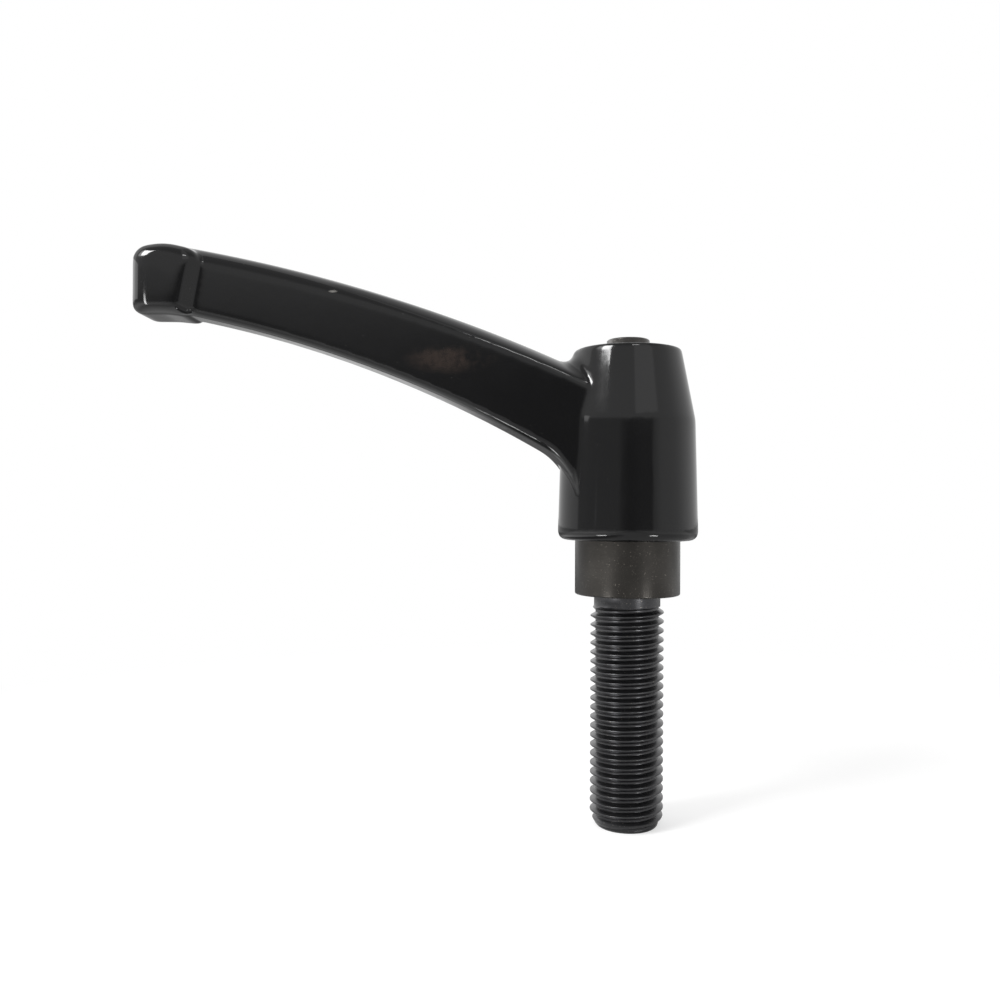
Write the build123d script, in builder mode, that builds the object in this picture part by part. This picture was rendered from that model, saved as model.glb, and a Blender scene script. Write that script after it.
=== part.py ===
from build123d import *
from math import cos, radians, sin, sqrt
import os

# Adjustable clamping lever, M16 x 50 stud, handle reaching 106 mm from the stud's axis.
# Frame: +Z up along the stud axis, the handle reaches out along -X.
# Origin: centre of the collar's clamping face, where the stud leaves it. All sizes in mm.

# ---------------------------------------------------------------- stud and its crown
stud_diameter = 16.0            # M16 major diameter, thread drawn as a plain shaft
stud_length = 50.0
stud_tip_radius = 6.4
stud_tip_length = 2.6           # long lead-in chamfer at the tip
relief_diameter = 14.3          # plain undercut between the thread and the collar
relief_length = 2.4
relief_runout = 0.8
collar_diameter = 22.7
collar_edge = 0.6               # broken edge round the clamping face
crown_foot = 24.0               # height where the plain collar ends and the teeth start
crown_height = 5.0
tooth_count = 24
tooth_root_radius = 10.0
tooth_tip_radius = 11.15
tooth_root_width = 1.75
tooth_tip_width = 1.0
tooth_embed = 0.6               # how far each tooth reaches inside the root circle

# ---------------------------------------------------------------- retaining screw
screw_thread_diameter = 5.0
screw_thread_length = 11.0
tapped_hole_extra = 2.0         # the hole is tapped a little deeper than the screw reaches
screw_shank_diameter = 6.4
screw_head_diameter = 9.3
screw_head_height = 4.0
screw_head_edge = 0.4
screw_top = 55.2
socket_across_flats = 4.0
socket_depth = 2.4

# ---------------------------------------------------------------- hub of the lever
hub_foot = 11.8
hub_foot_radius = 15.15
hub_waist = 37.6                # height where the drafted barrel turns into the cone
hub_waist_radius = 14.45
hub_top = 52.75
hub_top_radius = 11.5
hub_foot_round = 1.7
hub_top_round = 1.3
hub_rim_lean = 0.2              # the cone's draft across the upper rim
hub_waist_round = 8.0
guide_clearance = 0.1           # radial play of the collar in the hub
tooth_clearance = 0.15          # play between the crown and the lever's own teeth
tooth_seat_gap = 0.05           # axial play between those teeth and the collar's shoulder
pocket_headroom = 0.2           # space over the crown
web_height = 3.8                # floor between the toothed pocket and the spring pocket
web_hole_diameter = 7.2
spring_pocket_diameter = 9.9
mouth_chamfer = 0.5

# ---------------------------------------------------------------- spring
spring_wire = 1.0               # drawn with six flats
spring_outer_diameter = 9.1
spring_turns = 5.0
spring_seat_gap = 0.1           # at each end, at rest

# ---------------------------------------------------------------- arm of the lever
arm_root_x = -4.0               # the arm's blank starts inside the hub
arm_end_x = -97.0               # and ends inside the knob
arm_top_points = [(-4.0, 45.35), (-54.0, 64.88), (-97.0, 74.98)]
arm_foot_points = [(-97.0, 59.95), (-57.0, 48.9), (-19.3, 31.4)]
gusset_bend = (-13.2, 25.7)     # the underside sweeps down into the hub like a gusset
gusset_foot = (-10.2, 16.5)
gusset_run = (0.15, -1)         # direction of the gusset where it dives into the hub
# half widths along the arm, seen from above: it flares from a slim neck to the hub
arm_neck_half = 4.9
arm_half_widths = [(arm_end_x, arm_neck_half), (-66.0, 5.4), (-35.0, 8.0), (arm_root_x, 9.8)]
arm_crown = 3.2                 # how far the arched top rises over the side panels
arm_foot_edge = 0.5             # broken edges along the underside
root_fillet = 2.2

# ---------------------------------------------------------------- knob of the lever
knob_end_x = -106.0
knob_thickness = 15.0
knob_top_points = [(knob_end_x, 73.9), (-99.0, 75.15), (-90.9, 73.7)]
knob_foot_points = [(-93.4, 59.1), (-98.5, 59.1), (knob_end_x, 60.5)]
knob_corner_round = 3.2
knob_face_round = 3.2           # equal to the corners' round, so the end's corners are ball-shaped
knob_slope_foot = (-92.2, 0, 65.3)
knob_slope_length = 3.1
knob_cut_reach = 20.0           # the sloping cut reaches past the knob on every side
arm_square = (0.184, 0.983)     # direction square to the arm at its neck, in X and Z

# ---------------------------------------------------------------- worked-out sizes
crown_top = crown_foot + crown_height
web_foot = crown_top + pocket_headroom
web_top = web_foot + web_height
screw_head_foot = screw_top - screw_head_height
guide_radius = collar_diameter / 2 + guide_clearance
blank_height = 80.0             # the arm's side outline is cut from a blank of this height
blank_width = 24.0
cut_overlap = 0.1               # a cut reaches this far past the face it breaks through

os.makedirs("parts", exist_ok=True)


def tooth_outline(root_radius, tip_radius, root_width, tip_width):
    """One straight-sided tooth on the +X side, from just inside the root circle to the tip."""
    inner = root_radius - tooth_embed
    return [
        (inner, -root_width / 2),
        (root_radius, -root_width / 2),
        (tip_radius, -tip_width / 2),
        (tip_radius, tip_width / 2),
        (root_radius, root_width / 2),
        (inner, root_width / 2),
    ]


# ======================================================================================
# Threaded stud: one turned bar, blackened steel. Stud, relief, plain collar, toothed
# crown, and a tapped hole in its top for the retaining screw.
# ======================================================================================
with BuildPart() as threaded_stud:
    with BuildSketch(Plane.XZ):
        Polygon(
            (0, -stud_length),
            (stud_tip_radius, -stud_length),
            (stud_diameter / 2, -stud_length + stud_tip_length),
            (stud_diameter / 2, -relief_length - relief_runout),
            (relief_diameter / 2, -relief_length),
            (relief_diameter / 2, 0),
            (collar_diameter / 2 - collar_edge, 0),
            (collar_diameter / 2, collar_edge),
            (collar_diameter / 2, crown_foot),
            (tooth_root_radius, crown_foot),
            (tooth_root_radius, crown_top),
            (0, crown_top),
            align=None,
        )
    revolve(axis=Axis.Z)

    # the crown's teeth
    with BuildSketch(Plane.XY.offset(crown_foot)):
        with PolarLocations(0, tooth_count):
            Polygon(
                *tooth_outline(tooth_root_radius, tooth_tip_radius, tooth_root_width, tooth_tip_width),
                align=None,
            )
    extrude(amount=crown_height)

    # tapped hole for the retaining screw
    with Locations((0, 0, crown_top)):
        Hole(radius=screw_thread_diameter / 2, depth=screw_thread_length + tapped_hole_extra)

threaded_stud.part.label = "threaded_stud"
export_step(threaded_stud.part, "parts/threaded_stud.step")

# ======================================================================================
# Retaining screw: shouldered cap screw driven into the stud's top. Its shoulder seats on
# the crown, and its head stands proud of the hub and holds the spring down.
# ======================================================================================
with BuildPart() as retaining_screw:
    with BuildSketch(Plane.XZ):
        Polygon(
            (0, crown_top - screw_thread_length),
            (screw_thread_diameter / 2, crown_top - screw_thread_length),
            (screw_thread_diameter / 2, crown_top),
            (screw_shank_diameter / 2, crown_top),
            (screw_shank_diameter / 2, screw_head_foot),
            (screw_head_diameter / 2, screw_head_foot),
            (screw_head_diameter / 2, screw_top - screw_head_edge),
            (screw_head_diameter / 2 - screw_head_edge, screw_top),
            (0, screw_top),
            align=None,
        )
    revolve(axis=Axis.Z)

    # hexagon socket
    with BuildSketch(Plane.XY.offset(screw_top)):
        RegularPolygon(radius=socket_across_flats / 2, side_count=6, major_radius=False)
    extrude(amount=-socket_depth, mode=Mode.SUBTRACT)

retaining_screw.part.label = "retaining_screw"
export_step(retaining_screw.part, "parts/retaining_screw.step")

# ======================================================================================
# Return spring: one open coil between the hub's web and the screw head.
# ======================================================================================
spring_height = screw_head_foot - web_top - spring_wire - 2 * spring_seat_gap
spring_radius = (spring_outer_diameter - spring_wire) / 2

with BuildPart() as return_spring:
    with BuildLine(Plane.XY.offset(web_top + spring_wire / 2 + spring_seat_gap)) as coil:
        Helix(pitch=spring_height / spring_turns, height=spring_height, radius=spring_radius)
    with BuildSketch(Plane(origin=coil.edge() @ 0, z_dir=coil.edge() % 0)):
        RegularPolygon(radius=spring_wire / 2, side_count=6)
    sweep(is_frenet=True)

return_spring.part.label = "return_spring"
export_step(return_spring.part, "parts/return_spring.step")

# ======================================================================================
# Lever: one pressure die-casting. The arm comes from its side and top outlines, the knob
# from its own, and both run into the turned form of the hub.
# ======================================================================================
with BuildPart() as arm:
    # flat side panels under an arched top, which follows the ridge from the hub to the knob
    ridge = ThreePointArc(*arm_top_points)
    for x, half_width in arm_half_widths:
        crown = ridge.arc_center.Y + sqrt(ridge.radius ** 2 - (x - ridge.arc_center.X) ** 2)
        with BuildSketch(Plane(origin=(x, 0, 0), x_dir=(0, 1, 0), z_dir=(1, 0, 0))):
            with BuildLine():
                eaves = crown - arm_crown
                arch = ThreePointArc((-half_width, eaves), (0, crown), (half_width, eaves))
                Polyline(arch @ 1, (half_width, gusset_foot[1]), (-half_width, gusset_foot[1]), arch @ 0)
            make_face()
    loft()

    # the underside: a long arc that sweeps down into the hub like a gusset
    with BuildSketch(Plane.XZ.offset(-blank_width / 2)):
        with BuildLine():
            foot = ThreePointArc(*arm_foot_points)
            gusset = Spline(foot @ 1, gusset_bend, gusset_foot, tangents=[foot % 1, gusset_run])
            Polyline(
                gusset @ 1,
                (arm_root_x, gusset_foot[1]),
                (arm_root_x, blank_height),
                (arm_end_x, blank_height),
                foot @ 0,
            )
        make_face()
    extrude(amount=blank_width, mode=Mode.INTERSECT)

    side_edges = arm.edges().filter_by(lambda e: abs(e.center().Y) > 4)
    foot_edges = side_edges.filter_by(lambda e: e.length > 70 and e.center().Z < 55)
    gusset_edges = side_edges.filter_by(lambda e: 14 < e.length < 22 and e.center().Z < 30)
    chamfer(foot_edges + gusset_edges, length=arm_foot_edge)

with BuildPart() as knob:
    with BuildSketch(Plane.XZ.offset(-knob_thickness / 2)) as knob_side:
        with BuildLine():
            knob_top = ThreePointArc(*knob_top_points)
            knob_foot = ThreePointArc(*knob_foot_points)
            Line(knob_top @ 1, knob_foot @ 0)
            Line(knob_foot @ 1, knob_top @ 0)
        make_face()
        fillet(knob_side.vertices().sort_by(Axis.X)[:2], radius=knob_corner_round)
    extrude(amount=knob_thickness)
    panels = knob.faces().sort_by(Axis.Y)
    rim = panels[0].edges().sort_by(Axis.X)[:-1] + panels[-1].edges().sort_by(Axis.X)[:-1]
    fillet(rim, radius=knob_face_round)

    # its two inner faces slope down to the arm's panels, square to the arm
    across_the_arm = Plane(
        origin=knob_slope_foot,
        x_dir=(arm_square[1], 0, -arm_square[0]),
        z_dir=(arm_square[0], 0, arm_square[1]),
    )
    with BuildSketch(across_the_arm.offset(-knob_cut_reach)):
        Polygon(
            (-knob_cut_reach, -knob_thickness / 2),
            (-knob_slope_length, -knob_thickness / 2),
            (0, -arm_neck_half),
            (knob_cut_reach, -arm_neck_half),
            (knob_cut_reach, arm_neck_half),
            (0, arm_neck_half),
            (-knob_slope_length, knob_thickness / 2),
            (-knob_cut_reach, knob_thickness / 2),
            align=None,
        )
    extrude(amount=2 * knob_cut_reach, mode=Mode.INTERSECT)

with BuildPart() as lever:
    # the hub's outside: drafted barrel, cone, and rounded rims, the lower one in three flats
    foot_rim = [
        (
            hub_foot_radius - hub_foot_round * (1 - sin(radians(angle))),
            hub_foot + hub_foot_round * (1 - cos(radians(angle))),
        )
        for angle in (0, 30, 60, 90)
    ]
    with BuildSketch(Plane.XZ) as hub_half:
        with BuildLine():
            top_rim = Bezier(
                (hub_top_radius, hub_top - hub_top_round),
                (hub_top_radius - hub_rim_lean, hub_top),
                (hub_top_radius - hub_top_round, hub_top),
            )
            Polyline(
                top_rim @ 1,
                (0, hub_top),
                (0, hub_foot),
                *foot_rim,
                (hub_waist_radius, hub_waist),
                top_rim @ 0,
            )
        make_face()
        fillet(hub_half.vertices().filter_by(lambda v: v.Y == hub_waist), radius=hub_waist_round)
    revolve(axis=Axis.Z)
    add(arm.part)
    add(knob.part)

    # one inside radius runs all the way round the arm's root
    root_joint = [e for e in lever.edges() if e.length > 15 and 47 < e.center().Z < 50 and e.center().X > -16]
    fillet(root_joint, radius=root_fillet)

    # bore that guides on the collar
    with Locations((0, 0, hub_foot)):
        Cylinder(
            radius=guide_radius,
            height=crown_foot + tooth_seat_gap - hub_foot,
            align=(Align.CENTER, Align.CENTER, Align.MIN),
            mode=Mode.SUBTRACT,
        )
    chamfer(
        lever.edges().filter_by(GeomType.CIRCLE).filter_by(lambda e: abs(e.radius - guide_radius) < 0.01)
        .sort_by(Axis.Z)[0],
        length=mouth_chamfer,
    )

    # internal teeth that mesh with the crown
    with BuildSketch(Plane.XY.offset(crown_foot + tooth_seat_gap)):
        Circle(tooth_root_radius + tooth_clearance)
        with PolarLocations(0, tooth_count):
            Polygon(
                *tooth_outline(
                    tooth_root_radius + tooth_clearance,
                    tooth_tip_radius + tooth_clearance,
                    tooth_root_width + 2 * tooth_clearance,
                    tooth_tip_width + 2 * tooth_clearance,
                ),
                align=None,
            )
    extrude(amount=web_foot - crown_foot - tooth_seat_gap, mode=Mode.SUBTRACT)

    # spring pocket, open at the top, and the hole in the web for the screw
    with Locations((0, 0, hub_top)):
        CounterBoreHole(
            radius=web_hole_diameter / 2,
            counter_bore_radius=spring_pocket_diameter / 2,
            counter_bore_depth=hub_top - web_top,
            depth=hub_top - web_foot + cut_overlap,
        )

lever.part.label = "lever"
export_step(lever.part, "parts/lever.step")
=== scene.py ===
import math

import bmesh
import bpy
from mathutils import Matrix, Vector


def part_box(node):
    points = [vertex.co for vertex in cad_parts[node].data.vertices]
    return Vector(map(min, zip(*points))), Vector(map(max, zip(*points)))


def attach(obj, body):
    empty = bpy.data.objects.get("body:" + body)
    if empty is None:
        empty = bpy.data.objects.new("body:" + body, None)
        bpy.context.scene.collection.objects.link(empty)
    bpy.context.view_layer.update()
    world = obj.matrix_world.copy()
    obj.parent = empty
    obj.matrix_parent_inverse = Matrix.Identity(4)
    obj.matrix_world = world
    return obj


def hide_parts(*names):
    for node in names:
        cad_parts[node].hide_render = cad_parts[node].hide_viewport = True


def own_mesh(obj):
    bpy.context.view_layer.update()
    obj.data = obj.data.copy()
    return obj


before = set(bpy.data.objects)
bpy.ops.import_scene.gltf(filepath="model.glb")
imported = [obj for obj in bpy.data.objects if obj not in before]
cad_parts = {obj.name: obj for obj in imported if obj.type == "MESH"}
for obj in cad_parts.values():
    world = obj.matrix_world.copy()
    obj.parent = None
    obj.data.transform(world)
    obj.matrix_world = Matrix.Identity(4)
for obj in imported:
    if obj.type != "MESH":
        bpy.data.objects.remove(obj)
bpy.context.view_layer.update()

MM = 0.001                                  # the frame is in metres, the drawings in millimetres

# ======================================================================================
# Threaded stud. One turned bar of steel: M16 x 2 rolled thread, a plain collar that the
# lever's hub slides on, and a toothed crown that the lever locks to. After turning it is
# blackened in a hot salt bath and oiled, so it is dark and satin with a brown cast.
# ======================================================================================
stud_low, stud_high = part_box("threaded_stud")
collar_radius = stud_high.x
stud_tip = stud_low.z
crown_top = stud_high.z

pitch = 2.0 * MM
crest_radius = 7.9 * MM
root_radius = 6.82 * MM
relief_radius = 7.15 * MM
relief_top = 0.0
relief_foot = -2.4 * MM
tip_radius = 6.35 * MM
collar_top = 24.0 * MM
tooth_count = 24
crown_teeth = {"root": 10.0 * MM, "tip": 11.15 * MM, "root_width": 1.75 * MM, "tip_width": 1.0 * MM}


def rounded(corners, steps=8):
    """An outline whose corners are rounded. Each corner is (across, up, radius)."""
    outline = []
    neighbours = zip(corners[-1:] + corners[:-1], corners, corners[1:] + corners[:1])
    for before, corner, after in neighbours:
        point = Vector(corner[:2])
        if corner[2] == 0:
            outline.append(point)
            continue
        back = (Vector(before[:2]) - point).normalized()
        on = (Vector(after[:2]) - point).normalized()
        half = back.angle(on) / 2
        centre = point + (back + on).normalized() * corner[2] / math.sin(half)
        arm = back * corner[2] / math.tan(half) + point - centre
        turn = (math.pi - 2 * half) * (1 if back.x * on.y - back.y * on.x < 0 else -1)
        for step in range(steps + 1):
            angle = turn * step / steps
            outline.append(centre + Vector((
                arm.x * math.cos(angle) - arm.y * math.sin(angle),
                arm.x * math.sin(angle) + arm.y * math.cos(angle),
            )))
    return outline


def closed(bm):
    """Caps a mesh's open ends and turns its faces outward."""
    bmesh.ops.holes_fill(bm, edges=[e for e in bm.edges if e.is_boundary])
    bmesh.ops.recalc_face_normals(bm, faces=bm.faces)
    return bm


def cut_away(bm, point, outward):
    """Cuts off all that lies beyond a plane, which faces outward at the point."""
    bmesh.ops.bisect_plane(
        bm, geom=bm.verts[:] + bm.edges[:] + bm.faces[:], dist=0.0001 * MM,
        plane_co=point, plane_no=outward, clear_outer=True,
    )


def turned(outline, steps=128):
    """A turned solid: an outline of (radius, height) from the axis back to the axis, spun about Z."""
    bm = bmesh.new()
    points = [bm.verts.new((r, 0, z)) for r, z in outline]
    edges = [bm.edges.new(pair) for pair in zip(points, points[1:])]
    bmesh.ops.spin(
        bm, geom=points + edges, cent=(0, 0, 0), axis=(0, 0, 1),
        angle=math.tau, steps=steps, use_merge=True,
    )
    bmesh.ops.remove_doubles(bm, verts=bm.verts, dist=0.001 * MM)
    bmesh.ops.recalc_face_normals(bm, faces=bm.faces)
    return bm


def toothed(root, tip, root_width, tip_width, low, high):
    """A prism with straight-sided teeth all round, from height low to height high."""
    bm = bmesh.new()
    circle = bmesh.ops.create_circle(bm, cap_ends=True, segments=4 * tooth_count, radius=1)["verts"]
    corners = [(root, -root_width / 2), (tip, -tip_width / 2), (tip, tip_width / 2), (root, root_width / 2)]
    for index, vertex in enumerate(circle):
        across, along = corners[index % 4]
        angle = math.tau * (index // 4) / tooth_count
        vertex.co = (
            across * math.cos(angle) - along * math.sin(angle),
            across * math.sin(angle) + along * math.cos(angle),
            low,
        )
    grown = bmesh.ops.extrude_face_region(bm, geom=bm.faces[:])["geom"]
    grown_verts = [part for part in grown if isinstance(part, bmesh.types.BMVert)]
    bmesh.ops.translate(bm, vec=(0, 0, high - low), verts=grown_verts)
    bmesh.ops.recalc_face_normals(bm, faces=bm.faces)
    return bm


def shown(bm, name):
    """Makes a bmesh an object in the scene, at the origin."""
    mesh = bpy.data.meshes.new(name)
    bm.to_mesh(mesh)
    bm.free()
    piece = bpy.data.objects.new(name, mesh)
    bpy.context.collection.objects.link(piece)
    return piece


def modified(piece, kind, **settings):
    """Runs one modifier on a piece and keeps its result as the piece's mesh."""
    modifier = piece.modifiers.new(kind.lower(), kind)
    for name, value in settings.items():
        setattr(modifier, name, value)
    seen = piece.evaluated_get(bpy.context.evaluated_depsgraph_get())
    old, piece.data = piece.data, bpy.data.meshes.new_from_object(seen)
    piece.modifiers.clear()
    bpy.data.meshes.remove(old)


def combined(piece, tool, operation):
    """Joins a tool solid to a piece, or cuts it out, and throws the tool away."""
    helper = shown(tool, "tool")
    modified(piece, "BOOLEAN", operation=operation, solver="EXACT", object=helper)
    bpy.data.objects.remove(helper)


def finished(piece, material, sharp_degrees=35):
    """Smooth shading with real edges kept, and the piece's material."""
    piece.data.materials.clear()
    piece.data.materials.append(material)
    piece.data.shade_smooth()
    piece.data.set_sharp_from_angle(angle=math.radians(sharp_degrees))


# the thread: one profile of all its turns, spun once round while it rises by one pitch
half_turn = [                                # (height over a crest's middle, radius)
    (0.00, 7.90), (0.10, 7.90), (0.15, 7.87), (0.19, 7.81), (0.74, 6.90), (0.79, 6.84), (0.87, 6.82),
]
thread_profile = [(-height, radius) for height, radius in reversed(half_turn[1:])] + half_turn
crest_height = 0.3 * MM                      # where a crest stands on the +X side
turn_count = 27
thread_steps = 96

bm = bmesh.new()
profile = []
for turn in range(turn_count):
    middle = crest_height - turn * pitch
    for height, radius in reversed(thread_profile):
        profile.append(bm.verts.new((radius * MM, 0, middle + height * MM)))
edges = [bm.edges.new(pair) for pair in zip(profile, profile[1:])]
bmesh.ops.spin(
    bm, geom=profile + edges, cent=(0, 0, 0), axis=(0, 0, 1), angle=math.tau,
    steps=thread_steps, dvec=(0, 0, pitch / thread_steps),
)
bmesh.ops.remove_doubles(bm, verts=bm.verts, dist=0.002 * MM)
cut_away(bm, (0, 0, stud_tip), (0, 0, -1))
cut_away(bm, (0, 0, relief_foot), (0, 0, 1))
bmesh.ops.holes_fill(bm, edges=[e for e in bm.edges if e.is_boundary])

# both ends are chamfered, the tip more roundly, so the thread fades out into them
tip_length = 2.6 * MM
run_out_slope = 0.6                          # how fast the crests grow below the relief
for vertex in bm.verts:
    up_the_tip = min(1, max(0, (vertex.co.z - stud_tip) / tip_length))
    below_relief = relief_foot - vertex.co.z
    allowed = min(
        tip_radius + (crest_radius - tip_radius) * up_the_tip ** 0.75,
        relief_radius - 0.05 * MM + run_out_slope * below_relief,
    )
    reach = math.hypot(vertex.co.x, vertex.co.y)
    if reach > allowed:
        vertex.co.x *= allowed / reach
        vertex.co.y *= allowed / reach
bmesh.ops.recalc_face_normals(bm, faces=bm.faces)
stud = shown(bm, "stud_visual")

# above the thread: relief, collar and crown, with an end that stays inside the thread
end_radius = root_radius - 0.6 * MM
crown_core_radius = 9.9 * MM
body_outline = rounded([
    (0, relief_foot - 1.2 * MM, 0),
    (end_radius, relief_foot - 1.2 * MM, 0),
    (end_radius, relief_foot - 0.4 * MM, 0),
    (relief_radius, relief_foot - 0.1 * MM, 0),
    (relief_radius, relief_top, 0.35 * MM),
    (collar_radius, relief_top, 0.35 * MM),
    (collar_radius, collar_top, 0.25 * MM),
    (crown_core_radius, collar_top, 0),
    (crown_core_radius, crown_top, 0.3 * MM),
    (0, crown_top, 0),
])
combined(stud, turned(body_outline), "UNION")
combined(stud, toothed(**crown_teeth, low=collar_top - 0.2 * MM, high=crown_top - 0.2 * MM), "UNION")


def linear(hex_colour):
    """A colour written as sRGB hex, as the linear values that a shader takes."""
    channels = [int(hex_colour[i:i + 2], 16) / 255 for i in (1, 3, 5)]
    return tuple(c / 12.92 if c <= 0.04045 else ((c + 0.055) / 1.055) ** 2.4 for c in channels) + (1,)


def node(tree, kind, sockets=None, **settings):
    """Adds a shader node with its settings, and fills its sockets with values or with links."""
    added = tree.nodes.new("ShaderNode" + kind)
    for name, value in settings.items():
        setattr(added, name, value)
    for socket, value in (sockets or {}).items():
        if isinstance(value, bpy.types.NodeSocket):
            tree.links.new(value, added.inputs[socket])
        else:
            added.inputs[socket].default_value = value
    return added


def blend(tree, share, first, second):
    """One colour turning into another as the share goes from 0 to 1."""
    return node(tree, "Mix", {0: share, 6: first, 7: second}, data_type="RGBA").outputs[2]


def noise(tree, place, size_mm, **look):
    """Cloudy noise whose blotches have about one size, as a value round 0.5."""
    return node(tree, "TexNoise", {"Vector": place, "Scale": 1 / (size_mm * MM), **look}).outputs["Fac"]


def new_material(name):
    """An empty material with its output, and the tree to build it in."""
    material = bpy.data.materials.new(name)
    material.use_nodes = True
    material.node_tree.nodes.clear()
    return material, material.node_tree


def black_oxide(name, dark, light, roughness, lathe_mm, burnished_below):
    """Steel blackened in hot salts: dark, satin, a little brown, with the lathe's fine rings in it.
    Below one height it is rolled thread, which is colder in tone and has a softer sheen. The oil
    left in the layer is a thin coat, which gives the eye the grey glaze over the dark metal."""
    material, tree = new_material(name)
    place = node(tree, "TexCoord").outputs["Object"]
    cloud = noise(tree, place, 7, Detail=3, Roughness=0.5)
    grain = noise(tree, place, 0.25, Detail=2)
    flattened = node(tree, "Mapping", {"Vector": place, "Scale": (0.02, 0.02, 1)}).outputs[0]
    rings = noise(tree, flattened, lathe_mm, Detail=2)

    tone = node(tree, "MapRange", {0: cloud, 1: 0.35, 2: 0.7}).outputs[0]
    brown = blend(tree, tone, linear(dark), linear(light))
    height = node(tree, "SeparateXYZ", {0: place}).outputs["Z"]
    burnished = node(tree, "MapRange", {
        0: height, 1: burnished_below + 0.2 * MM, 2: burnished_below,
    }).outputs[0]
    colour = blend(tree, burnished, brown, linear("#3f3f41"))
    specks = node(tree, "MapRange", {0: grain, 1: 0.67, 2: 0.74}).outputs[0]
    speckled = blend(tree, specks, colour, linear("#8b857c"))

    rough = node(tree, "MapRange", {0: rings, 1: 0.3, 2: 0.7, 3: roughness - 0.04, 4: roughness + 0.05})
    softer = node(tree, "MapRange", {0: burnished, 3: 0.0, 4: 0.10})
    finish = node(tree, "Math", {0: rough.outputs[0], 1: softer.outputs[0]}, operation="ADD")
    fine = node(tree, "Bump", {"Height": rings, "Distance": 0.001 * MM, "Strength": 0.5})
    bump = node(tree, "Bump", {
        "Height": grain, "Distance": 0.006 * MM, "Strength": 0.5, "Normal": fine.outputs[0],
    })
    surface = node(tree, "BsdfPrincipled", {
        "Base Color": speckled, "Metallic": 1.0, "Roughness": finish.outputs[0], "Normal": bump.outputs[0],
        "Coat Weight": 0.6, "Coat Roughness": 0.24, "Coat IOR": 1.5,
    })
    node(tree, "OutputMaterial", {"Surface": surface.outputs[0]})
    return material


finished(stud, black_oxide(
    "black_oxide_turned_steel", "#2d2a26", "#3b3834",
    roughness=0.20, lathe_mm=0.12, burnished_below=relief_top,
))
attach(stud, "stud")
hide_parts("threaded_stud")

# ======================================================================================
# Lever. One pressure die-casting in zinc: a conical hub, a curved arm and a knob that is
# wider than the arm. Trimmed, tumbled and stove-enamelled gloss black, which rounds its
# edges; then the guide bore, the internal teeth and the spring pocket are open in it.
# ======================================================================================
lever_low, lever_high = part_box("lever")
hub_foot = lever_low.z
hub_foot_radius = lever_high.x
hub_draft = 0.06                             # the hub's radius shrinks this much for each unit up
hub_waist_radius = 14.45 * MM
hub_waist = 37.6 * MM
hub_top_radius = 11.4 * MM
hub_top = 53.0 * MM
guide_radius = collar_radius + 0.1 * MM

arm_end = -97.0 * MM                         # inside the knob
arm_root = -4.0 * MM                         # inside the hub
neck_half = 4.9 * MM                         # half the arm's width at its neck
root_half = 9.8 * MM                         # and where it runs into the hub
flare_start = -81.0 * MM
crown_height = 3.2 * MM                      # the arched top stands this much over the panels' edges
foot_round = 1.2 * MM
crease = 0.8 * MM                            # the rounding between the flat sides and the arched top
gusset_start = -19.3 * MM                    # from here the underside sweeps down into the hub
gusset_slope = 0.5
gusset_radius = 7.6 * MM
shoulder_reach = 11.95 * MM                  # the hub's radius where the arm's top meets it
shoulder_round = 3.6 * MM


def arc_height(first, middle, last):
    """The upper arc through three points, in mm, as a function from place along to height."""
    (ax, az), (bx, bz), (cx, cz) = first, middle, last
    twice = 2 * (ax * (bz - cz) + bx * (cz - az) + cx * (az - bz))
    squares = [x * x + z * z for x, z in (first, middle, last)]
    x0 = (squares[0] * (bz - cz) + squares[1] * (cz - az) + squares[2] * (az - bz)) / twice
    z0 = (squares[0] * (cx - bx) + squares[1] * (ax - cx) + squares[2] * (bx - ax)) / twice
    radius = math.hypot(ax - x0, az - z0)
    return lambda x: (z0 + math.sqrt(radius ** 2 - (x / MM - x0) ** 2)) * MM


ridge_height = arc_height((-97.0, 74.98), (-54.0, 64.88), (-4.0, 45.35))
foot_height = arc_height((-97.0, 60.0), (-57.0, 49.0), (-19.3, 31.6))


def arm_section(x):
    """The arm's outline across, at one place along it: arched top, flat sides, nearly flat foot."""
    flare = min(1, max(0, (x - flare_start) / -flare_start))
    half = neck_half + (root_half - neck_half) * flare * flare * (3 - 2 * flare)
    top = ridge_height(x)
    into_gusset = min(max(0, x - gusset_start), gusset_radius)
    foot = foot_height(min(x, gusset_start)) - gusset_slope * into_gusset
    foot -= gusset_radius - math.sqrt(gusset_radius ** 2 - into_gusset ** 2)
    inside_hub = max(0, x - gusset_start - gusset_radius)
    foot = max(foot - 4 * inside_hub, hub_foot + 1.5 * MM)

    arch_radius = (half ** 2 + crown_height ** 2) / (2 * crown_height)
    side = [(0, foot), (half * 0.5, foot)]
    for step in range(5):
        angle = math.pi / 2 * step / 4
        side.append((half - foot_round * (1 - math.sin(angle)), foot + foot_round * (1 - math.cos(angle))))
    side.append((half, (foot + top - crown_height) / 2))

    # from the flat side a short curve leads into the arch
    arch_half = half - crease
    corner = top - crown_height
    rise = top - arch_radius + math.sqrt(arch_radius ** 2 - arch_half ** 2) - corner
    for share in (0, 0.25, 0.5, 0.75):
        side.append((half - crease * share ** 2, corner - crease * (1 - share) ** 2 + rise * share ** 2))
    for step in range(10):
        across = arch_half * math.cos(math.pi / 2 * step / 9)
        side.append((across, top - arch_radius + math.sqrt(arch_radius ** 2 - across ** 2)))
    return side + [(-across, height) for across, height in reversed(side[:-1])]


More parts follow.
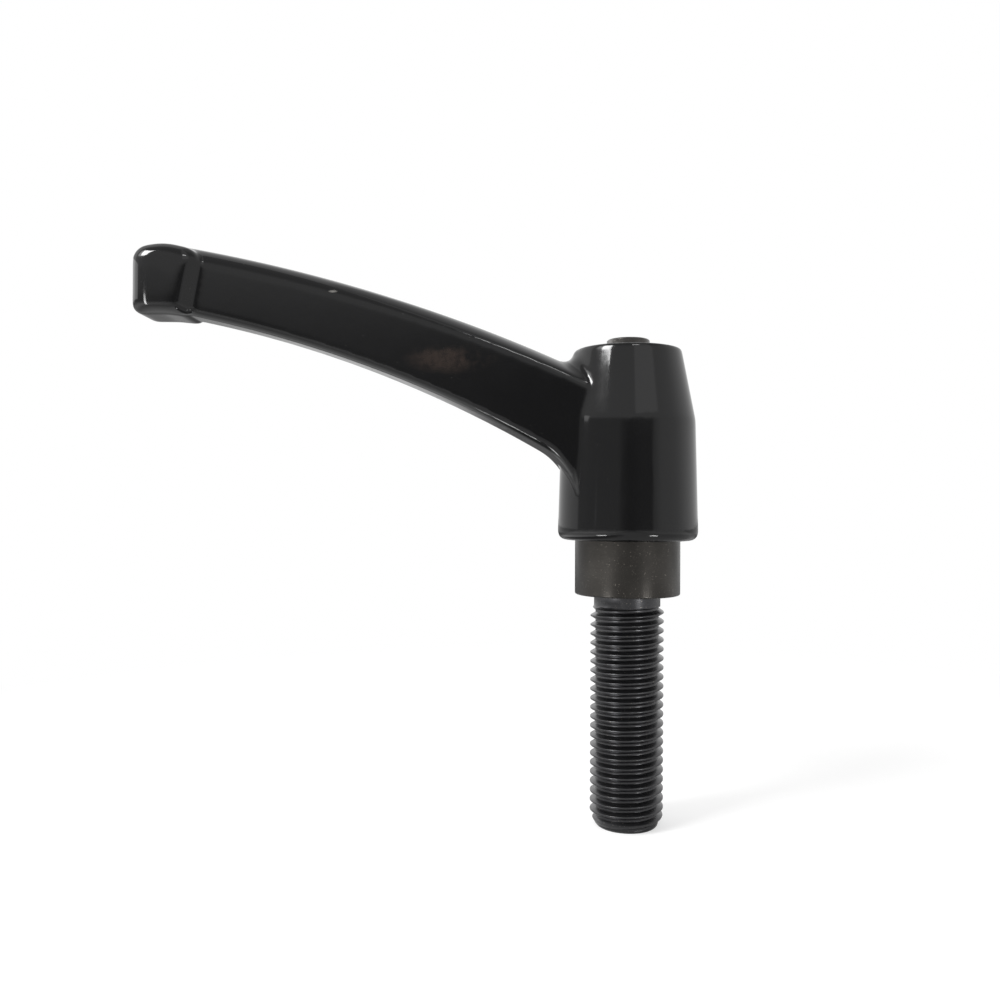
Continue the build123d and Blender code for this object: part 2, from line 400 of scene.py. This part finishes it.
def shoulder_rise(x, across, height):
    """How much the arm's arched top climbs near the hub's skin, as the casting's radius there."""
    edge_height = ridge_height(x) - crown_height
    away = math.hypot(x, across) - shoulder_reach
    if height <= edge_height or away > shoulder_round:
        return 0
    rise = shoulder_round - math.sqrt(shoulder_round ** 2 - (shoulder_round - max(0, away)) ** 2)
    return rise * min(1, (height - edge_height) / (0.6 * crown_height))


def arm_solid(stations=180):
    """The arm as a grid laid round its sections, from inside the knob to inside the hub."""
    bm = bmesh.new()
    around = len(arm_section(arm_end)) - 1
    bmesh.ops.create_grid(bm, x_segments=stations, y_segments=around, size=0.5)
    for vertex in bm.verts:
        x = arm_end + (arm_root - arm_end) * (vertex.co.x + 0.5)
        across, height = arm_section(x)[round((vertex.co.y + 0.5) * around)]
        vertex.co = (x, across, height + shoulder_rise(x, across, height))
    bmesh.ops.remove_doubles(bm, verts=bm.verts, dist=0.001 * MM)
    return closed(bm)


knob_half = 7.5 * MM
knob_face_round = 3.2 * MM                   # from the pads into the rim, on average:
tip_fullness = 1.4                           # it is fuller along the tip
foot_fullness = 0.5                          # and tighter along the underside
corner_ease = 0.3                            # and it cuts the corners by this share
knob_dome = 0.12 * MM                        # the pads stand up this much in their middles
knob_outline = rounded([
    (-106.25, 73.7, 3.6), (-99.4, 74.9, 14), (-90.8, 72.95, 4.5),
    (-93.0, 58.9, 3.0), (-99.5, 59.55, 20), (-106.25, 59.5, 2.2),
])
along_arm = Vector((0.983, 0, -0.184))       # at the neck, towards the hub
slope_foot = Vector((-92.2, 0, 65.3)) * MM   # where the knob's sloping inner faces reach the panels
slope_length = 3.1 * MM


def knob_layers(pad):
    """The knob's layers from one face to the other, as (place across, how far the rim is drawn in)."""
    layers = [
        (-knob_half + knob_dome * share ** 2, pad * (1 - share) + knob_face_round)
        for share in (0.1, 0.3, 0.5, 0.7, 0.85)
    ]
    start = math.radians(10)
    for degrees in range(10, 91, 10):
        angle = math.radians(degrees)
        layers.append((
            -knob_half + knob_dome + knob_face_round * (math.cos(start) - math.cos(angle)),
            knob_face_round * (1 - math.sin(angle)),
        ))
    return layers + [(-across, inset) for across, inset in reversed(layers)]


def knob_solid():
    """The knob: its side outline drawn in layers across, each a little smaller towards the faces."""
    bm = bmesh.new()
    low = Vector((min(p.x for p in knob_outline), min(p.y for p in knob_outline))) * MM
    high = Vector((max(p.x for p in knob_outline), max(p.y for p in knob_outline))) * MM
    middle, reach = (low + high) / 2, (high - low) / 2
    ring_before = None
    for across, inset in knob_layers(reach.x - knob_face_round):
        ring = []
        for point in knob_outline:
            along, up = ((point * MM - middle)[axis] / reach[axis] for axis in (0, 1))
            ease = 1 + (1 / math.hypot(along, up) - 1) * corner_ease * min(1, inset / knob_face_round)
            from_end = inset * (tip_fullness if along < 0 else 1)
            from_edge = inset * (foot_fullness if up < 0 else 1)
            ring.append(bm.verts.new((
                middle.x + along * ease * (reach.x - from_end), across,
                middle.y + up * ease * (reach.y - from_edge),
            )))
        edges = [bm.edges.new(pair) for pair in zip(ring, ring[1:] + ring[:1])]
        if ring_before:
            bmesh.ops.bridge_loops(bm, edges=ring_before + edges)
        ring_before = edges
    closed(bm)
    bmesh.ops.remove_doubles(bm, verts=bm.verts, dist=0.001 * MM)

    # towards the arm each side slopes down to the panel
    depth = knob_half - neck_half
    for side in (-1, 1):
        cut_away(
            bm, slope_foot + Vector((0, side * neck_half, 0)),
            along_arm * depth + Vector((0, side * slope_length, 0)),
        )
        closed(bm)
    return bm


def eased(bm, verts, rounds):
    """Relaxes a mesh at some of its vertices, round after round."""
    for _ in range(rounds):
        bmesh.ops.smooth_vert(bm, verts=verts, factor=0.5, use_axis_x=True, use_axis_y=True, use_axis_z=True)


hub_outline = rounded([
    (0, hub_foot, 0),
    (hub_foot_radius, hub_foot, 1.7 * MM),
    (hub_waist_radius, hub_waist, 4.5 * MM),
    (hub_top_radius, hub_top, 0.45 * MM),
    (0, hub_top, 0),
])
casting = turned(hub_outline, steps=192)
for part in (arm_solid(), knob_solid()):
    loose = bpy.data.meshes.new("loose")
    part.to_mesh(loose)
    part.free()
    casting.from_mesh(loose)
    bpy.data.meshes.remove(loose)
lever = shown(casting, "lever_visual")

# one skin over the three forms, eased so that the inside corners get a casting's radii:
# all over, then where the arm's top and its gusset meet the hub, then on the knob's rims
voxel = 0.36 * MM
modified(lever, "REMESH", mode="VOXEL", voxel_size=voxel, use_smooth_shade=True)
bm = bmesh.new()
bm.from_mesh(lever.data)
eased(bm, bm.verts, 7)
for low, high, width, rounds in ((46, 51.2, 2.2, 10), (15, 30, 1.6, 6)):
    inside_corner = []
    for v in bm.verts:
        hub_skin = hub_foot_radius - (v.co.z - hub_foot) * hub_draft
        from_skin = abs(math.hypot(v.co.x, v.co.y) - hub_skin)
        if v.co.x < -8 * MM and low * MM < v.co.z < high * MM and from_skin < width * MM:
            inside_corner.append(v)
    eased(bm, inside_corner, rounds)
knob_shoulders = [v for v in bm.verts if v.co.x < -92.8 * MM and abs(v.co.y) > neck_half + 0.9 * MM]
eased(bm, knob_shoulders, 14)
bm.to_mesh(lever.data)
bm.free()

# what is open in the casting: guide bore with its broken edge, toothed pocket, screw hole, spring pocket
web_foot = crown_top + 0.2 * MM
web_top = web_foot + 3.8 * MM
screw_hole_radius = 3.6 * MM
pocket_radius = 4.95 * MM
mouth_break = 0.5 * MM
combined(lever, turned([
    (0, hub_foot - 2 * MM),
    (guide_radius + mouth_break + 2 * MM, hub_foot - 2 * MM),
    (guide_radius, hub_foot + mouth_break),
    (guide_radius, collar_top + 0.05 * MM),
    (0, collar_top + 0.05 * MM),
]), "DIFFERENCE")
tooth_play = 0.15 * MM                       # round each of the crown's teeth
combined(lever, toothed(
    root=crown_teeth["root"] + tooth_play, tip=crown_teeth["tip"] + tooth_play,
    root_width=crown_teeth["root_width"] + 2 * tooth_play,
    tip_width=crown_teeth["tip_width"] + 2 * tooth_play,
    low=collar_top - 0.5 * MM, high=web_foot,
), "DIFFERENCE")
combined(lever, turned([
    (0, web_foot - 1 * MM),
    (screw_hole_radius, web_foot - 1 * MM),
    (screw_hole_radius, web_top),
    (pocket_radius, web_top),
    (pocket_radius, hub_top - 0.4 * MM),
    (pocket_radius + 2.4 * MM, hub_top + 2 * MM),
    (0, hub_top + 2 * MM),
]), "DIFFERENCE")


def blot(tree, place, middle_mm, reach_mm, cloud, low, high):
    """A cloudy mark on one spot: full in its middle and gone at its reach, in mm."""
    local = node(tree, "Mapping", {
        "Vector": place,
        "Location": [-m / r for m, r in zip(middle_mm, reach_mm)],
        "Scale": [1 / (r * MM) for r in reach_mm],
    })
    out = node(tree, "VectorMath", {0: local.outputs[0]}, operation="LENGTH")
    near = node(tree, "MapRange", {0: out.outputs["Value"], 1: 1.0, 2: 0.45})
    patchy = node(tree, "MapRange", {0: cloud, 1: low, 2: high})
    return node(tree, "Math", {0: near.outputs[0], 1: patchy.outputs[0]}, operation="MULTIPLY").outputs[0]


def gloss_enamel():
    """Stove enamel on a casting. The eye reads it as poured lacquer: near-black under mirror-like
    reflections that an orange peel bends a little, with a painted patch of brownish reflected sheen
    on the arm's front face, a scratch and some dust."""
    material, tree = new_material("stove_enamel_gloss_black")
    place = node(tree, "TexCoord").outputs["Object"]
    peel = noise(tree, place, 2.2, Detail=2, Roughness=0.45)
    swell = noise(tree, place, 9, Detail=1)
    haze = noise(tree, place, 5, Detail=5, Roughness=0.65)

    dust = node(tree, "TexVoronoi", {"Vector": place, "Scale": 1 / (2.4 * MM), "Randomness": 1.0})
    motes = node(tree, "MapRange", {0: dust.outputs["Distance"], 1: 0.020, 2: 0.032, 3: 1.0, 4: 0.0})
    # painted reflection: a lighter, mottled brown patch of sheen on the arm's front face near the hub
    painted_sheen_patch = blot(tree, place, (-38.5, -8.5, 50.0), (11.0, 6.0, 3.6), haze, 0.42, 0.60)
    scratch = blot(tree, place, (-63.4, -5.6, 64.4), (1.1, 2.0, 0.35), haze, 0.30, 0.50)
    with_painted_sheen = blend(tree, painted_sheen_patch, linear("#070708"), linear("#2a221e"))
    scratched = blend(tree, scratch, with_painted_sheen, linear("#6d6b68"))
    dusty = blend(tree, motes.outputs[0], scratched, linear("#4f4e4c"))

    rough = node(tree, "MapRange", {0: haze, 1: 0.3, 2: 0.75, 3: 0.06, 4: 0.13})
    waves = node(tree, "Bump", {"Height": swell, "Distance": 0.02 * MM, "Strength": 1.0})
    skin = node(tree, "Bump", {
        "Height": peel, "Distance": 0.004 * MM, "Strength": 1.0, "Normal": waves.outputs[0],
    })
    surface = node(tree, "BsdfPrincipled", {
        "Base Color": dusty, "Roughness": rough.outputs[0], "IOR": 1.5, "Normal": skin.outputs[0],
    })
    node(tree, "OutputMaterial", {"Surface": surface.outputs[0]})
    return material


finished(lever, gloss_enamel())
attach(lever, "lever")
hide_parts("lever")

# ======================================================================================
# Return spring. A compression spring of drawn steel wire with closed ends, bright and
# lightly oiled. It stands in the hub's pocket and presses the lever down on the crown,
# held under the screw's head, so it shortens when the lever is lifted.
# ======================================================================================
spring_low, spring_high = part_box("return_spring")
wire_radius = 0.5 * MM
coil_radius = spring_high.x - wire_radius
coil_turns = 6.0


def coiled_wire(steps_per_turn=40, sides=14):
    """The wire as a grid bent round the coil; the first and last turns lie close."""
    bm = bmesh.new()
    steps = round(coil_turns * steps_per_turn)
    bmesh.ops.create_grid(bm, x_segments=steps, y_segments=sides, size=0.5)
    foot, top = spring_low.z + wire_radius, spring_high.z - wire_radius
    for vertex in bm.verts:
        share = vertex.co.x + 0.5
        turn = share * coil_turns
        if turn < 1:
            rise = 2 * wire_radius * turn
        elif turn > coil_turns - 1:
            rise = top - foot - 2 * wire_radius * (coil_turns - turn)
        else:
            rise = 2 * wire_radius + (top - foot - 4 * wire_radius) * (turn - 1) / (coil_turns - 2)
        around = math.tau * (vertex.co.y + 0.5)
        reach = coil_radius + wire_radius * math.cos(around)
        vertex.co = (
            reach * math.cos(math.tau * turn), reach * math.sin(math.tau * turn),
            foot + rise + wire_radius * math.sin(around),
        )
    bmesh.ops.remove_doubles(bm, verts=bm.verts, dist=0.001 * MM)
    return closed(bm)


def drawn_wire():
    """Drawn spring wire: bright grey metal whose film of oil gives it warmer, duller patches."""
    material, tree = new_material("drawn_spring_wire")
    place = node(tree, "TexCoord").outputs["Object"]
    film = noise(tree, place, 1.5, Detail=3)
    colour = blend(tree, film, linear("#8c8a86"), linear("#6f6b64"))
    rough = node(tree, "MapRange", {0: film, 1: 0.3, 2: 0.7, 3: 0.22, 4: 0.34})
    surface = node(tree, "BsdfPrincipled", {
        "Base Color": colour, "Metallic": 1.0, "Roughness": rough.outputs[0],
    })
    node(tree, "OutputMaterial", {"Surface": surface.outputs[0]})
    return material


spring = shown(coiled_wire(), "spring_visual")
finished(spring, drawn_wire())
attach(spring, "spring")
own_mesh(spring)
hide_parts("return_spring")

# ======================================================================================
# Retaining screw. A shouldered socket screw driven into the crown: its head stands proud
# of the hub and holds the spring down. Cold-headed alloy steel, blackened, with a hexagon
# socket pressed into the top.
# ======================================================================================
screw_low, screw_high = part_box("retaining_screw")
head_radius = screw_high.x
head_foot = screw_high.z - 4.0 * MM
shank_radius = 3.2 * MM
socket_flat = 2.0 * MM                       # from the axis to a flat
socket_depth = 2.4 * MM

screw = shown(turned(rounded([
    (0, screw_low.z, 0),
    (2.1 * MM, screw_low.z, 0),
    (2.5 * MM, screw_low.z + 0.4 * MM, 0),
    (2.5 * MM, crown_top, 0),
    (shank_radius, crown_top, 0),
    (shank_radius, head_foot, 0.3 * MM),
    (head_radius, head_foot, 0.2 * MM),
    (head_radius, screw_high.z - 0.25 * MM, 0.1 * MM),
    (head_radius - 0.25 * MM, screw_high.z, 0.1 * MM),
    (0, screw_high.z, 0),
], steps=5)), "screw_visual")

hexagon = bmesh.new()
bmesh.ops.create_cone(
    hexagon, cap_ends=True, segments=6, radius1=socket_flat / math.cos(math.pi / 6),
    radius2=socket_flat / math.cos(math.pi / 6), depth=2 * socket_depth,
)
bmesh.ops.translate(hexagon, vec=(0, 0, screw_high.z), verts=hexagon.verts)
combined(screw, hexagon, "DIFFERENCE")
combined(screw, turned([
    (0, screw_high.z - socket_depth - 0.9 * MM),
    (1.85 * MM, screw_high.z - socket_depth + 0.05 * MM),
    (0, screw_high.z - socket_depth + 0.05 * MM),
], steps=48), "DIFFERENCE")
combined(screw, turned([
    (0, screw_high.z - 1.9 * MM),
    (2.42 * MM, screw_high.z + 0.1 * MM),
    (0, screw_high.z + 0.1 * MM),
], steps=48), "DIFFERENCE")

finished(screw, black_oxide(
    "black_oxide_screw_steel", "#43413f", "#53514f",
    roughness=0.26, lathe_mm=0.3, burnished_below=screw_low.z,
))
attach(screw, "stud")
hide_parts("retaining_screw")

# ======================================================================================
# Studio: a white sweep under the stud's tip, a soft window to the left and a small light
# overhead, and small cards that give the knob and the hub's foot their short highlights.
# The room is white behind the object and darker in front of it, as the enamel shows it.
# ======================================================================================
floor_mesh = bmesh.new()
bmesh.ops.create_grid(floor_mesh, x_segments=1, y_segments=1, size=4.0)
bmesh.ops.translate(floor_mesh, vec=(0, 0, stud_tip), verts=floor_mesh.verts)
floor = shown(floor_mesh, "floor")


def ramp(tree, value, start, end, low=0.0, high=1.0, kind="SMOOTHSTEP"):
    """A value that runs from low to high while another runs from start to end."""
    sockets = {0: value, 1: start, 2: end, 3: low, 4: high}
    return node(tree, "MapRange", sockets, interpolation_type=kind).outputs[0]


def reckoned(tree, operation, *values):
    """The sum or product of several values."""
    result = values[0]
    for value in values[1:]:
        result = node(tree, "Math", {0: result, 1: value}, operation=operation).outputs[0]
    return result


def mixed(tree, share, first, second):
    """One value or shader giving way to another as the share goes from 0 to 1."""
    if isinstance(first, bpy.types.NodeSocketShader):
        return node(tree, "MixShader", {0: share, 1: first, 2: second}).outputs[0]
    return node(tree, "Mix", {0: share, 2: first, 3: second}, data_type="FLOAT").outputs[0]


def white_sweep():
    """The sweep as the camera sees it, white with a soft shadow near the object, and as the piece
    reflects it: grey paper with painted shade under the arm and a painted glow below the knob,
    and further off a dim grey with painted shade, darker behind and lighter to the sides."""
    material, tree = new_material("white_sweep")
    place = node(tree, "TexCoord").outputs["Object"]
    spot = node(tree, "SeparateXYZ", {0: place})
    distance = node(tree, "VectorMath", {0: place}, operation="LENGTH").outputs["Value"]
    far = ramp(tree, distance, 0.10, 0.26)

    def matt(grey):
        return node(tree, "BsdfDiffuse", {"Color": grey}).outputs[0]

    def lit(strength):
        return node(tree, "Emission", {"Color": (1, 1, 1, 1), "Strength": strength}).outputs[0]

    def added(first, second):
        return node(tree, "AddShader", {0: first, 1: second}).outputs[0]

    seen = mixed(tree, far, added(matt((0.50, 0.50, 0.50, 1)), lit(0.55)), lit(1.0))

    # painted shade: as the piece reflects it, the paper darkens under the arm
    painted_shade_under_arm = ramp(tree, spot.outputs["X"], -0.025, -0.050, 0.50, 0.18, "LINEAR")
    # painted light: the paper below the knob glows, seen only in reflections; there is no card or lamp there
    card = ramp(tree, spot.outputs["X"], -0.080, -0.100, 0.0, 1.20, "LINEAR")
    aside = node(tree, "Math", {0: spot.outputs["X"]}, operation="ABSOLUTE").outputs[0]
    # painted shade further off: darker behind the object, lighter to the sides
    painted_shade_far_off = reckoned(
        tree, "ADD", ramp(tree, spot.outputs["Y"], 0.10, 0.30, 0.50, 0.14, "LINEAR"),
        ramp(tree, aside, 0.18, 0.40, 0.0, 0.35, "LINEAR"),
    )
    reflected = mixed(tree, far, added(matt(painted_shade_under_arm), lit(card)), matt(painted_shade_far_off))

    camera_ray = node(tree, "LightPath").outputs["Is Camera Ray"]
    node(tree, "OutputMaterial", {"Surface": mixed(tree, camera_ray, reflected, seen)})
    return material


floor.data.materials.append(white_sweep())

world = bpy.data.worlds.new("studio_room")
bpy.context.scene.world = world
world.use_nodes = True
tree = world.node_tree
tree.nodes.clear()
way = node(tree, "SeparateXYZ", {0: node(tree, "TexCoord").outputs["Generated"]})
forward = node(tree, "Math", {0: way.outputs["Y"], 1: -1.0}, operation="MULTIPLY").outputs[0]
turned_to = node(tree, "Math", {0: way.outputs["X"], 1: forward}, operation="ARCTAN2").outputs[0]
up = way.outputs["Z"]


def across(start, end, low=0.0, high=1.0):
    """A ramp along the room's walls, in degrees to the right of straight in front."""
    return ramp(tree, turned_to, math.radians(start), math.radians(end), low, high)


# the walls: grey in front, lighter to the right and higher up, white to the left, dim overhead
front = mixed(tree, ramp(tree, up, 0.16, 0.26), across(28, 52, 0.40, 0.72), 0.73)
room = reckoned(
    tree, "ADD", front, across(-98, -94, 0.40, 0.0), across(74, 104, 0.0, 0.12),
    ramp(tree, up, 0.52, 0.85, 0.0, -0.30),
)
# a pale panel to the right, and the glow of the window's wall to the left
panel = reckoned(tree, "MULTIPLY", across(4, 7, 0.0, 0.32), across(50, 44), ramp(tree, up, 0.38, 0.44))
glow = reckoned(
    tree, "MULTIPLY", across(-88, -78, 0.0, 3.0), across(-50, -58),
    ramp(tree, up, 0.45, 0.52), ramp(tree, up, 0.80, 0.70),
)
# a dark doorway low in front
doorway = reckoned(tree, "MULTIPLY", across(-24, -15), across(36, 32), ramp(tree, up, 0.20, 0.12))
inside = reckoned(tree, "ADD", across(-22, -4, 0.27, 0.17), across(-4, 20, 0.0, 0.05))
reflected = mixed(tree, doorway, reckoned(tree, "ADD", room, panel, glow), inside)

camera_ray = node(tree, "LightPath").outputs["Is Camera Ray"]
sky = node(tree, "Background", {"Color": mixed(tree, camera_ray, reflected, 1.0), "Strength": 1.0})
node(tree, "OutputWorld", {"Surface": sky.outputs[0]})


def window(name, target_mm, degrees, distance, size, watts, spread=180):
    """A rectangular soft light, placed by its direction (degrees right of straight in front, and
    up) and its distance in metres from the point it looks at. Its spread is in degrees."""
    lamp = bpy.data.lights.new(name, "AREA")
    lamp.shape = "RECTANGLE"
    lamp.size, lamp.size_y = size
    lamp.energy = watts
    lamp.spread = math.radians(spread)
    holder = bpy.data.objects.new(name, lamp)
    bpy.context.collection.objects.link(holder)
    right, rise = map(math.radians, degrees)
    direction = Vector((math.sin(right) * math.cos(rise), -math.cos(right) * math.cos(rise), math.sin(rise)))
    holder.location = Vector(target_mm) * MM + direction * distance
    holder.rotation_euler = direction.to_track_quat("Z", "Y").to_euler()


window("window_left", (0, 0, 50), (-58, 37.2), 0.9, (0.30, 0.25), 5.0)
window("window_top", (-20, 0, 45), (14, 50), 0.9, (0.20, 0.08), 0.5)
window("card_beyond_knob", (-106, 0, 66), (-110, 13), 0.25, (0.38, 0.06), 0.10)
window("card_knob_streak", (-104, -7, 64), (-38, -6), 0.12, (0.015, 0.07), 0.004, spread=50)
window("card_foot_left", (0, -15, 13), (-56, -25), 0.1, (0.025, 0.008), 0.010)
window("card_foot_right", (0, -15, 13), (39, -25), 0.1, (0.025, 0.008), 0.012)

# level with the collar and close, so the hub's foot and top are both seen almost edge on
camera = bpy.data.objects.new("camera", bpy.data.cameras.new("camera"))
bpy.context.collection.objects.link(camera)
camera.location = Vector((-27.76, -205.0, 20.3)) * MM
camera.rotation_euler = (math.radians(90), math.radians(-0.27), 0)
camera.data.sensor_width = 36.0
camera.data.lens = 33.9
camera.data.clip_start = 0.01
bpy.context.scene.camera = camera
bpy.context.scene.view_settings.view_transform = "Standard"
